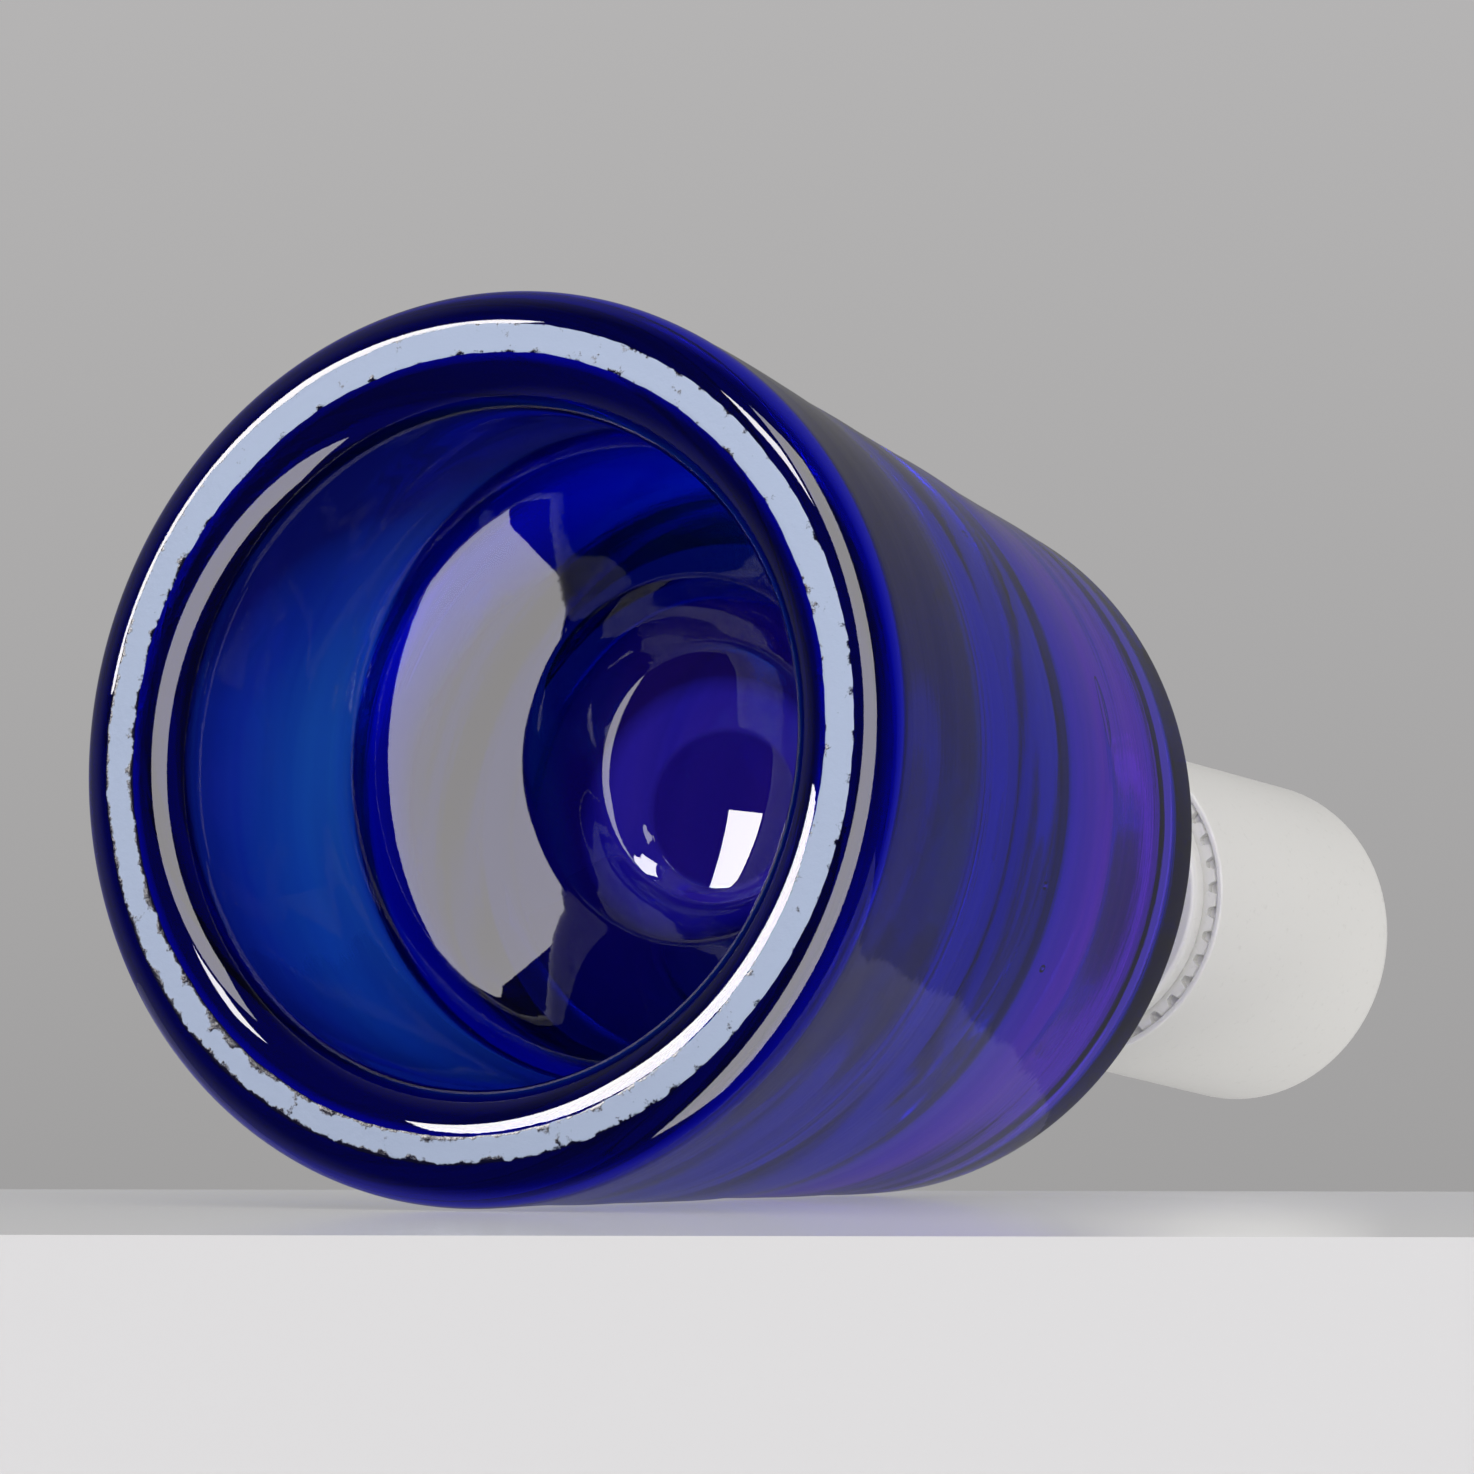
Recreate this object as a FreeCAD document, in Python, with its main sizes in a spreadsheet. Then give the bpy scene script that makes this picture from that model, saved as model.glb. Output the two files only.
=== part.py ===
"""Blue glass bottle with a white screw cap, as five separate solids.

The bottle stands upright on its foot ring, +Z up, with the origin at the centre of the foot. Sizes are in
millimetres and live in one sheet. Each piece is a body whose sketches are bound to that sheet.
"""

import os
from dataclasses import dataclass

import FreeCAD
import Part
import Sketcher

V = FreeCAD.Vector

# Sizes, each with what it measures

SIZES = [
    ("base_radius", 52.0, "largest radius of the glass, just above the foot"),
    ("wall_taper", 0.121, "how much the radius falls for each mm of height"),
    ("shoulder_height", 99.5, "height of the shoulder edge"),
    ("foot_width", 13.94, "width of the foot before its edges are rounded"),
    ("foot_ring_outer_round", 4.5, "rounding outside the ground foot ring"),
    ("foot_ring_inner_round", 5.6, "rounding inside the ground foot ring"),
    ("shoulder_round", 2.0, "rounding of the shoulder edge"),
    ("shoulder_rise", 13.5, "rise of the shoulder to where it would meet the neck"),
    ("neck_radius", 13.0, "outer radius of the neck"),
    ("neck_wall", 3.5, "thickness of the wall of the neck"),
    ("neck_root_round", 10.0, "hollow rounding from shoulder to neck"),
    ("mouth_round", 1.2, "rounding of the mouth"),
    ("wall_thickness", 4.0, "thickness of the blown wall round the cavity"),
    ("cavity_heel_round", 10.0, "rounding in the bottom of the cavity"),
    ("cavity_shoulder_round", 5.0, "rounding of the cavity under the shoulder"),
    ("cavity_neck_round", 12.0, "rounding of the cavity into the bore"),
    ("recess_draw", 1.0, "how much the base recess narrows up to its dome"),
    ("recess_corner_height", 38.5, "height where recess wall and dome would meet"),
    ("recess_corner_round", 9.0, "rounding from recess wall to dome"),
    ("dome_width", 16.6, "width of the dome outside its break"),
    ("dome_rise", 11.3, "rise of the dome outside its break"),
    ("dome_break_round", 5.0, "rounding of the break where the dome steepens"),
    ("pontil_radius", 9.4, "radius of the polished pontil disc"),
    ("pontil_rise", 9.7, "rise of the pontil disc over the break"),
    ("pontil_wall", 5.5, "thickness of the glass over the pontil disc"),
    ("mouth_gap", 0.1, "clearance between mouth and liner"),
    ("collar_wall", 2.0, "thickness of the neck collar"),
    ("collar_setback", 3.9, "how far the collar ends below the mouth"),
    ("collar_edge", 0.8, "rounding on the top edge of the neck collar"),
    ("flange_width", 1.9, "how far the flange stands out from the collar"),
    ("flange_thickness", 2.4, "thickness of the flange"),
    ("flange_round", 0.8, "rounding under the edge of the flange"),
    ("cap_rim", 150.0, "height of the rim of the cap"),
    ("cap_top", 196.4, "height of the top of the cap"),
    ("cap_edge_round", 1.8, "rounding of the top edge of the cap"),
    ("shell_wall", 0.8, "thickness of the wall of the shell"),
    ("shell_roof", 2.2, "thickness of the top of the shell"),
    ("rim_setback", 0.4, "how far the insert ends inside the rim"),
    ("thread_gap", 1.0, "room for the thread between collar and sleeve"),
    ("sleeve_wall", 1.2, "thickness of the sleeve of the insert"),
    ("insert_roof", 2.2, "thickness of the top of the insert"),
    ("bead_height", 0.7, "how far the bead that holds the liner stands in"),
    ("bead_width", 1.2, "width of the bead"),
    ("bead_gap", 0.4, "clearance between bead and liner"),
    ("rib_count", 38, "ribs round the insert"),
    ("rib_width", 1.5, "width of one rib"),
    ("rib_height", 1.25, "height of one rib"),
    ("seal_side_gap", 0.4, "clearance round the liner"),
    ("seal_play", 0.1, "clearance over the liner"),
    ("seal_thickness", 1.9, "thickness of the liner"),
]

# Sizes that follow from the ones above

DERIVED = [
    ("heel_corner_radius", "=base_radius + wall_taper * foot_ring_outer_round"),
    ("shoulder_radius", "=heel_corner_radius - wall_taper * shoulder_height"),
    ("recess_radius", "=heel_corner_radius - foot_width"),
    ("recess_corner_radius", "=recess_radius - recess_draw"),
    ("dome_break_radius", "=recess_corner_radius - dome_width"),
    ("dome_break_height", "=recess_corner_height + dome_rise"),
    ("pontil_height", "=dome_break_height + pontil_rise"),
    ("cavity_floor", "=pontil_height + pontil_wall"),
    ("cavity_heel_radius", "=heel_corner_radius - wall_taper * cavity_floor - wall_thickness"),
    ("cavity_top_radius", "=shoulder_radius + wall_taper * 0.62 * wall_thickness - wall_thickness"),
    ("cavity_top_height", "=shoulder_height - 0.62 * wall_thickness"),
    ("neck_root_height", "=shoulder_height + shoulder_rise"),
    ("cavity_neck_height", "=neck_root_height - 0.7 * wall_thickness"),
    ("neck_bore_radius", "=neck_radius - neck_wall"),
    ("collar_radius", "=neck_radius + collar_wall"),
    ("flange_radius", "=collar_radius + flange_width"),
    ("flange_bottom", "=cap_rim - flange_thickness"),
    ("insert_bore", "=collar_radius + thread_gap"),
    ("insert_radius", "=insert_bore + sleeve_wall"),
    ("insert_rim", "=cap_rim + rim_setback"),
    ("shell_bore", "=insert_radius + rib_height"),
    ("cap_radius", "=shell_bore + shell_wall"),
    ("shell_ceiling", "=cap_top - shell_roof"),
    ("insert_ceiling", "=shell_ceiling - insert_roof"),
    ("seal_radius", "=insert_bore - seal_side_gap"),
    ("seal_top", "=insert_ceiling - seal_play"),
    ("seal_bottom", "=seal_top - seal_thickness"),
    ("bead_radius", "=insert_bore - bead_height"),
    ("bead_top", "=seal_bottom - bead_gap"),
    ("bead_bottom", "=bead_top - bead_width"),
    ("mouth_height", "=seal_bottom - mouth_gap"),
    ("collar_top", "=mouth_height - collar_setback"),
    ("rib_length", "=shell_ceiling - insert_rim"),
    ("rib_half_width", "=rib_width / 2"),
]


@dataclass(frozen=True)
class Corner:
    """One corner of a turned outline.

    Attributes:
        radius: sheet name of the distance from the axis, empty on the axis.
        height: sheet name of the height, empty on the ground.
        rounding: sheet name of the corner's radius, empty for a sharp corner.
    """

    radius: str
    height: str
    rounding: str = ""


class SizeSheet:
    """The sheet of sizes, with a column for names, values and meanings."""

    NAME = "Sizes"

    def __init__(self, doc):
        """Fills the sheet.

        Args:
            doc: the document that holds the sheet.
        """
        self.sheet = doc.addObject("Spreadsheet::Sheet", self.NAME)
        row = 0
        for name, value, meaning in SIZES:
            row += 1
            self._write(row, name, str(value), meaning)
        for name, formula in DERIVED:
            row += 1
            self._write(row, name, formula, "follows from other sizes")
        doc.recompute()

    def _write(self, row, name, content, meaning):
        """Writes one row of the sheet."""
        self.sheet.set(f"A{row}", name)
        self.sheet.set(f"B{row}", content)
        self.sheet.setAlias(f"B{row}", name)
        self.sheet.set(f"C{row}", meaning)

    def value(self, name):
        """Returns the number behind a name, and zero for an empty name."""
        return float(getattr(self.sheet, name)) if name else 0.0

    def ref(self, name):
        """Returns the expression that reads a name from the sheet."""
        return f"{self.NAME}.{name}"


def origin_plane(body, role):
    """Returns the body's own origin plane with this role."""
    return next(item for item in body.Origin.OriginFeatures if item.Role == role)


class TurnedOutline:
    """A closed outline in the XZ plane of a body, with rounded corners bound to the sheet."""

    def __init__(self, body, name, corners, sizes):
        """Draws the outline.

        Args:
            body: the body that owns the sketch.
            name: the name of the sketch.
            corners: the corners in order round the outline.
            sizes: the sheet of sizes.
        """
        self.sizes = sizes
        self.sketch = body.newObject("Sketcher::SketchObject", name)
        self.sketch.AttachmentSupport = [(origin_plane(body, "XZ_Plane"), "")]
        self.sketch.MapMode = "FlatFace"
        spots = [V(sizes.value(c.radius), sizes.value(c.height), 0) for c in corners]
        marks = [self._corner_arc(spots, i, corners[i]) for i in range(len(corners))]
        lines = self._draw_lines(spots, marks)
        for i, corner in enumerate(corners):
            self._tie_corner(corner, spots[i], marks[i], lines[i - 1], lines[i])

    def _corner_arc(self, spots, i, corner):
        """Returns where the lines end at a corner, and the arc between them if it is rounded."""
        spot = spots[i]
        if not corner.rounding:
            return spot, spot, None
        radius = self.sizes.value(corner.rounding)
        back = (spots[i - 1] - spot).normalize()
        ahead = (spots[(i + 1) % len(spots)] - spot).normalize()
        half = back.getAngle(ahead) / 2
        reach = radius / _tan(half)
        middle = spot + (back + ahead).normalize() * (radius / _sin(half))
        start = spot + back * reach
        end = spot + ahead * reach
        left_turn = (back.cross(ahead)).z < 0
        first, last = (start, end) if left_turn else (end, start)
        circle = Part.Circle(middle, V(0, 0, 1), radius)
        arc = Part.ArcOfCircle(circle, circle.parameter(first), circle.parameter(last))
        return start, end, (arc, left_turn)

    def _draw_lines(self, spots, marks):
        """Adds the straight sides and returns their numbers."""
        numbers = []
        for i in range(len(spots)):
            start = marks[i][1]
            end = marks[(i + 1) % len(spots)][0]
            numbers.append(self.sketch.addGeometry(Part.LineSegment(start, end), False))
        return numbers

    def _tie_corner(self, corner, spot, mark, before, after):
        """Binds one corner and joins the two sides that meet there."""
        if mark[2] is None:
            self.sketch.addConstraint(Sketcher.Constraint("Coincident", before, 2, after, 1))
            self._place(corner, after, 1)
            return
        arc, left_turn = mark[2]
        number = self.sketch.addGeometry(arc, False)
        point = self.sketch.addGeometry(Part.Point(spot), True)
        self._place(corner, point, 1)
        self.sketch.addConstraint(Sketcher.Constraint("PointOnObject", point, 1, before))
        self.sketch.addConstraint(Sketcher.Constraint("PointOnObject", point, 1, after))
        first, last = (1, 2) if left_turn else (2, 1)
        self.sketch.addConstraint(Sketcher.Constraint("Tangent", before, 2, number, first))
        self.sketch.addConstraint(Sketcher.Constraint("Tangent", number, last, after, 1))
        self._bind(Sketcher.Constraint("Radius", number, self.sizes.value(corner.rounding)), corner.rounding)

    def _place(self, corner, geometry, end):
        """Binds the position of one point to the sheet."""
        if corner.radius:
            value = self.sizes.value(corner.radius)
            self._bind(Sketcher.Constraint("DistanceX", -1, 1, geometry, end, value), corner.radius)
        else:
            self.sketch.addConstraint(Sketcher.Constraint("PointOnObject", geometry, end, -2))
        if corner.height:
            value = self.sizes.value(corner.height)
            self._bind(Sketcher.Constraint("DistanceY", -1, 1, geometry, end, value), corner.height)
        else:
            self.sketch.addConstraint(Sketcher.Constraint("PointOnObject", geometry, end, -1))

    def _bind(self, constraint, name):
        """Adds a measured constraint that reads its value from the sheet."""
        number = self.sketch.addConstraint(constraint)
        self.sketch.setExpression(f"Constraints[{number}]", self.sizes.ref(name))


def _sin(angle):
    """Returns the sine of an angle in radians."""
    return V(0, 1, 0).dot(FreeCAD.Rotation(V(0, 0, 1), Radian=angle).multVec(V(1, 0, 0)))


def _tan(angle):
    """Returns the tangent of an angle in radians."""
    turned = FreeCAD.Rotation(V(0, 0, 1), Radian=angle).multVec(V(1, 0, 0))
    return turned.y / turned.x


class Piece:
    """One physical piece: a body that ends in a single solid and a file of its own."""

    def __init__(self, doc, sizes, label):
        """Starts an empty body.

        Args:
            doc: the document.
            sizes: the sheet of sizes.
            label: the name of the piece and of its file.
        """
        self.doc = doc
        self.sizes = sizes
        self.label = label
        self.body = doc.addObject("PartDesign::Body", label)
        self.body.Label = label

    def turn(self, name, corners):
        """Turns an outline about the bottle's axis.

        Args:
            name: the name of the feature.
            corners: the outline's corners in order.

        Returns:
            The turned feature.
        """
        outline = TurnedOutline(self.body, f"{name}_outline", corners, self.sizes)
        self.doc.recompute()
        feature = self.body.newObject("PartDesign::Revolution", name)
        feature.Profile = (outline.sketch, [""])
        feature.ReferenceAxis = (outline.sketch, ["V_Axis"])
        feature.Angle = 360.0
        self.doc.recompute()
        self.body.Tip = feature
        return feature

    def export(self):
        """Checks the finished solid and writes its file."""
        shape = self.body.Shape
        if shape.isNull() or not shape.isValid() or len(shape.Solids) != 1:
            raise RuntimeError(f"{self.label} is not one valid solid")
        shape.exportStep(os.path.join("parts", f"{self.label}.step"))
        print(self.label, round(shape.Volume, 1), "mm3", shape.BoundBox)


class GlassBottle(Piece):
    """The blown bottle: foot, tapered wall, shoulder, neck, cavity and domed base recess in one outline."""

    OUTSIDE = [
        Corner("recess_radius", "", "foot_ring_inner_round"),
        Corner("heel_corner_radius", "", "foot_ring_outer_round"),
        Corner("shoulder_radius", "shoulder_height", "shoulder_round"),
        Corner("neck_radius", "neck_root_height", "neck_root_round"),
        Corner("neck_radius", "mouth_height", "mouth_round"),
    ]
    INSIDE = [
        Corner("neck_bore_radius", "mouth_height", "mouth_round"),
        Corner("neck_bore_radius", "cavity_neck_height", "cavity_neck_round"),
        Corner("cavity_top_radius", "cavity_top_height", "cavity_shoulder_round"),
        Corner("cavity_heel_radius", "cavity_floor", "cavity_heel_round"),
        Corner("", "cavity_floor"),
    ]
    RECESS = [
        Corner("", "pontil_height"),
        Corner("pontil_radius", "pontil_height"),
        Corner("dome_break_radius", "dome_break_height", "dome_break_round"),
        Corner("recess_corner_radius", "recess_corner_height", "recess_corner_round"),
    ]

    def build(self):
        """Turns the whole outline in one go."""
        self.turn("glass_wall", self.OUTSIDE + self.INSIDE + self.RECESS)


class NeckCollar(Piece):
    """The white collar bonded to the neck, with the flange seen inside the rim of the cap."""

    OUTLINE = [
        Corner("neck_radius", "flange_bottom"),
        Corner("flange_radius", "flange_bottom", "flange_round"),
        Corner("flange_radius", "cap_rim"),
        Corner("collar_radius", "cap_rim"),
        Corner("collar_radius", "collar_top", "collar_edge"),
        Corner("neck_radius", "collar_top"),
    ]

    def build(self):
        """Turns the collar."""
        self.turn("collar", self.OUTLINE)


class CapShell(Piece):
    """The smooth outer cup of the cap."""

    OUTLINE = [
        Corner("shell_bore", "cap_rim"),
        Corner("cap_radius", "cap_rim"),
        Corner("cap_radius", "cap_top", "cap_edge_round"),
        Corner("", "cap_top"),
        Corner("", "shell_ceiling"),
        Corner("shell_bore", "shell_ceiling"),
    ]

    def build(self):
        """Turns the cup."""
        self.turn("shell", self.OUTLINE)


class CapInsert(Piece):
    """The ribbed sleeve pressed into the shell."""

    OUTLINE = [
        Corner("insert_bore", "insert_rim"),
        Corner("insert_radius", "insert_rim"),
        Corner("insert_radius", "shell_ceiling"),
        Corner("", "shell_ceiling"),
        Corner("", "insert_ceiling"),
        Corner("insert_bore", "insert_ceiling"),
        Corner("insert_bore", "bead_top"),
        Corner("bead_radius", "bead_top"),
        Corner("bead_radius", "bead_bottom"),
        Corner("insert_bore", "bead_bottom"),
    ]

    def build(self):
        """Turns the sleeve, then pads one rib and repeats it round the axis."""
        self.turn("sleeve", self.OUTLINE)
        rib = self._pad_rib()
        pattern = self.body.newObject("PartDesign::PolarPattern", "ribs")
        pattern.Originals = [rib]
        axis = next(item for item in self.body.Origin.OriginFeatures if item.Role == "Z_Axis")
        pattern.Axis = (axis, [""])
        pattern.Angle = 360.0
        self.body.Tip = pattern
        pattern.Occurrences = int(self.sizes.value("rib_count"))
        pattern.setExpression("Occurrences", self.sizes.ref("rib_count"))
        self.doc.recompute()

    def _pad_rib(self):
        """Pads one rib from the rim of the sleeve to its top."""
        sketch = self.body.newObject("Sketcher::SketchObject", "rib_outline")
        sketch.AttachmentSupport = [(origin_plane(self.body, "XY_Plane"), "")]
        sketch.MapMode = "FlatFace"
        sketch.AttachmentOffset = FreeCAD.Placement(V(0, 0, self.sizes.value("insert_rim")), FreeCAD.Rotation())
        sketch.setExpression("AttachmentOffset.Base.z", self.sizes.ref("insert_rim"))
        inner = self.sizes.value("insert_bore")
        outer = self.sizes.value("shell_bore")
        half = self.sizes.value("rib_half_width")
        reach = (outer * outer - half * half) ** 0.5
        start = (inner + self.sizes.value("insert_radius")) / 2
        circle = Part.Circle(V(0, 0, 0), V(0, 0, 1), outer)
        corners = [V(start, -half, 0), V(reach, -half, 0), V(reach, half, 0), V(start, half, 0)]
        arc = Part.ArcOfCircle(circle, circle.parameter(corners[1]), circle.parameter(corners[2]))
        low = sketch.addGeometry(Part.LineSegment(corners[0], corners[1]), False)
        end = sketch.addGeometry(arc, False)
        high = sketch.addGeometry(Part.LineSegment(corners[2], corners[3]), False)
        back = sketch.addGeometry(Part.LineSegment(corners[3], corners[0]), False)
        for first, second in ((low, end), (end, high), (high, back), (back, low)):
            sketch.addConstraint(Sketcher.Constraint("Coincident", first, 2, second, 1))
        sketch.addConstraint(Sketcher.Constraint("Coincident", end, 3, -1, 1))
        sketch.addConstraint(Sketcher.Constraint("Horizontal", low))
        sketch.addConstraint(Sketcher.Constraint("Horizontal", high))
        sketch.addConstraint(Sketcher.Constraint("Symmetric", back, 1, back, 2, -1))
        number = sketch.addConstraint(Sketcher.Constraint("DistanceX", -1, 1, back, 1, start))
        middle = f"({self.sizes.ref('insert_bore')} + {self.sizes.ref('insert_radius')}) / 2"
        sketch.setExpression(f"Constraints[{number}]", middle)
        number = sketch.addConstraint(Sketcher.Constraint("DistanceY", back, 2, back, 1, 2 * half))
        sketch.setExpression(f"Constraints[{number}]", self.sizes.ref("rib_width"))
        number = sketch.addConstraint(Sketcher.Constraint("Radius", end, outer))
        sketch.setExpression(f"Constraints[{number}]", self.sizes.ref("shell_bore"))
        self.doc.recompute()
        rib = self.body.newObject("PartDesign::Pad", "rib")
        rib.Profile = (sketch, [""])
        rib.Length = self.sizes.value("rib_length")
        rib.setExpression("Length", self.sizes.ref("rib_length"))
        self.doc.recompute()
        return rib


class SealDisc(Piece):
    """The liner that closes on the mouth of the bottle."""

    OUTLINE = [
        Corner("", "seal_bottom"),
        Corner("seal_radius", "seal_bottom"),
        Corner("seal_radius", "seal_top"),
        Corner("", "seal_top"),
    ]

    def build(self):
        """Turns the disc."""
        self.turn("disc", self.OUTLINE)


def main():
    """Builds every piece, checks the document and writes the files."""
    doc = FreeCAD.newDocument("bottle")
    sizes = SizeSheet(doc)
    kinds = (
        (GlassBottle, "glass_bottle"),
        (NeckCollar, "neck_collar"),
        (CapShell, "cap_shell"),
        (CapInsert, "cap_insert"),
        (SealDisc, "seal_disc"),
    )
    pieces = [kind(doc, sizes, label) for kind, label in kinds]
    for piece in pieces:
        piece.build()
    doc.recompute()
    for item in doc.Objects:
        if "Invalid" in item.State or "Error" in item.State:
            raise RuntimeError(f"{item.Name} did not build: {item.State}")
    os.makedirs("parts", exist_ok=True)
    for piece in pieces:
        piece.export()


main()
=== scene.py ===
"""Looks of the blue glass bottle with a white screw cap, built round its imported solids."""

import logging
import math
from dataclasses import dataclass
from enum import Enum

import bpy
import numpy as np
from mathutils import Matrix, Vector


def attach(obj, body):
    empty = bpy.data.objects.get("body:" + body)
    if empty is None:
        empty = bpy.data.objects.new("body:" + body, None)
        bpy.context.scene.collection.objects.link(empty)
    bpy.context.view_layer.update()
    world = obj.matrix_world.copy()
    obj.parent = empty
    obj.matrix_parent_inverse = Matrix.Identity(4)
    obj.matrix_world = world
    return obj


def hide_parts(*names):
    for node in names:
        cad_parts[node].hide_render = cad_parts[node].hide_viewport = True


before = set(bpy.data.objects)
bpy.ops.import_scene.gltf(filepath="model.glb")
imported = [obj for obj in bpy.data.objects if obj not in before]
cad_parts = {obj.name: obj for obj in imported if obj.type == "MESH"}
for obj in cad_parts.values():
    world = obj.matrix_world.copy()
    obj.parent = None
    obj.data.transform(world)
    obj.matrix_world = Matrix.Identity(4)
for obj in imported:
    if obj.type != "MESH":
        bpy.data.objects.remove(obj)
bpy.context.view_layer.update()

LOG = logging.getLogger("bottle")
MM = 0.001
TURN = 2.0 * math.pi
IMAGE_SIDE = 1474.0
SENSOR = 36.0
POLE_SIZE = 1e-9
ARC_TURN = 0.12
ARC_STEPS = 4
WHITE = (1.0, 1.0, 1.0, 1.0)
COLOUR_SOCKET = "NodeSocketColor"
VALUE_SOCKET = "NodeSocketFloat"

Tint = tuple[float, float, float]
Colour = tuple[float, float, float, float]


class Shows(Enum):
    """What a lamp lights: only matt surfaces, or only reflections."""

    MATT = "matt"
    REFLECTED = "reflected"


class Body(Enum):
    """The moving bodies of the part."""

    BOTTLE = "bottle"
    LINER = "liner"
    CAP = "cap"


# Meshes from grids of points


def share_between(values: np.ndarray, start: float, end: float) -> np.ndarray:
    """Returns (values - start) / (end - start), held between 0 and 1. The end may be the smaller one."""
    return np.clip((values - start) / (end - start), 0, 1)


def eased(share: np.ndarray) -> np.ndarray:
    """Returns 3 s^2 - 2 s^3, which softens both ends of a share s."""
    return share * share * (3 - 2 * share)


def corner_arc(
    before: np.ndarray, spot: np.ndarray, after: np.ndarray, rounding: float, step: float
) -> np.ndarray:
    """Samples the arc that rounds one corner of an outline.

    An arc of radius q at a corner of half angle h starts q / tan(h) before the corner, and its centre lies
    q / sin(h) along the line that halves the corner.

    Args:
        before: radius and height of the corner before it, in millimetres.
        spot: radius and height of the corner itself.
        after: radius and height of the corner after it.
        rounding: radius of the arc.
        step: the largest distance between samples.

    Returns:
        The samples as rows of radius and height.
    """
    back = (before - spot) / np.linalg.norm(before - spot)
    ahead = (after - spot) / np.linalg.norm(after - spot)
    half = math.acos(float(np.clip(back @ ahead, -1, 1))) / 2
    reach = rounding / math.tan(half)
    middle = spot + (back + ahead) / np.linalg.norm(back + ahead) * rounding / math.sin(half)
    start, end = spot + back * reach - middle, spot + ahead * reach - middle
    first = math.atan2(start[1], start[0])
    swing = (math.atan2(end[1], end[0]) - first + math.pi) % TURN - math.pi
    pieces = max(ARC_STEPS, int(abs(swing) * rounding / step) + 1, int(abs(swing) / ARC_TURN))
    angles = first + swing * np.linspace(0, 1, pieces + 1)
    return middle + rounding * np.stack([np.cos(angles), np.sin(angles)], 1)


def rounded_outline(
    corners: list[tuple[float, float, float]], step: float, closed: bool
) -> tuple[np.ndarray, np.ndarray]:
    """Samples an outline whose corners are replaced by tangent arcs.

    Args:
        corners: radius, height and rounding of each corner, in millimetres.
        step: the largest distance between samples, in millimetres.
        closed: whether the last corner joins the first.

    Returns:
        The samples as rows of radius and height, and for each the number of the corner it follows.
    """
    spots = np.array([corner[:2] for corner in corners], float)
    count = len(corners)
    runs, marks = [], []
    last = None
    for i in range(count + (1 if closed else 0)):
        k = i % count
        bend = spots[k][None]
        rounding = corners[k][2]
        if rounding > 0:
            bend = corner_arc(spots[k - 1], spots[k], spots[(k + 1) % count], rounding, step)
        if last is not None:
            pieces = int(np.linalg.norm(bend[0] - last) / step) + 1
            share = np.linspace(0, 1, pieces + 1)[1:-1, None]
            runs.append(last + (bend[0] - last) * share)
            marks.append(np.full(len(share), i - 1))
        if i < count:
            runs.append(bend)
            marks.append(np.full(len(bend), i))
        last = bend[-1]
    return np.concatenate(runs), np.concatenate(marks)


def grid_mesh(
    name: str, points: np.ndarray, wrap_rows: bool = False, smooth_angle: float = 40.0
) -> bpy.types.Object:
    """Makes a closed mesh from a grid of points in millimetres, whose last column joins its first.

    A first or last row that lies on one point becomes a pole, and the faces are turned outwards by the
    sign of the volume they enclose.

    Args:
        name: the name of the piece.
        points: the grid, rows by columns by three.
        wrap_rows: whether the last row joins the first.
        smooth_angle: edges sharper than this, in degrees, stay sharp.

    Returns:
        The new object, linked to the scene.
    """
    rows, columns, _ = points.shape
    poles = [int(not wrap_rows and np.ptp(points[end], axis=0).max() < POLE_SIZE) for end in (0, -1)]
    here = np.arange(rows * columns).reshape(rows, columns)
    beside = np.roll(here, -1, 1)
    above, above_beside = np.roll(here, -1, 0), np.roll(beside, -1, 0)
    rows_used = slice(poles[0], rows - (0 if wrap_rows else 1) - poles[1])
    quads = np.stack([here, beside, above_beside, above], -1)[rows_used].reshape(-1, 4)
    fans = [np.zeros((0, 3), int)]
    if poles[0]:
        fans.append(np.stack([np.full(columns, here[0, 0]), beside[1], here[1]], -1))
    if poles[1]:
        fans.append(np.stack([np.full(columns, here[-1, 0]), here[-2], beside[-2]], -1))
    ends = np.concatenate(fans)
    flat = points.reshape(-1, 3) * MM
    corner = flat[np.concatenate([quads[:, [0, 1, 2]], quads[:, [0, 2, 3]], ends])]
    volume = np.einsum("ij,ij->i", corner[:, 0], np.cross(corner[:, 1], corner[:, 2])).sum()
    if volume < 0:
        quads, ends = quads[:, ::-1], ends[:, ::-1]
    used = np.unique(np.concatenate([quads.ravel(), ends.ravel()]))
    renumber = np.zeros(len(flat), int)
    renumber[used] = np.arange(len(used))
    mesh = bpy.data.meshes.new(name)
    faces = renumber[quads].tolist() + renumber[ends].tolist()
    mesh.from_pydata(flat[used].tolist(), [], faces)
    mesh.polygons.foreach_set("use_smooth", np.ones(len(mesh.polygons), bool))
    mesh.set_sharp_from_angle(angle=math.radians(smooth_angle))
    mesh.update()
    piece = bpy.data.objects.new(name, mesh)
    bpy.context.scene.collection.objects.link(piece)
    return piece


def turned(outline: np.ndarray, segments: int, shift: np.ndarray | float = 0.0) -> np.ndarray:
    """Carries an outline round the axis: x = r cos(t), y = r sin(t), z = height.

    Args:
        outline: rows of radius and height.
        segments: steps round the axis.
        shift: a change of radius, one number or one per row and step.

    Returns:
        The grid of points.
    """
    angle = np.linspace(0, TURN, segments, endpoint=False)
    radius = np.broadcast_to(outline[:, :1] + shift, (len(outline), segments))
    height = np.broadcast_to(outline[:, 1:], radius.shape)
    return np.stack([radius * np.cos(angle), radius * np.sin(angle), height], -1)


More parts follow.
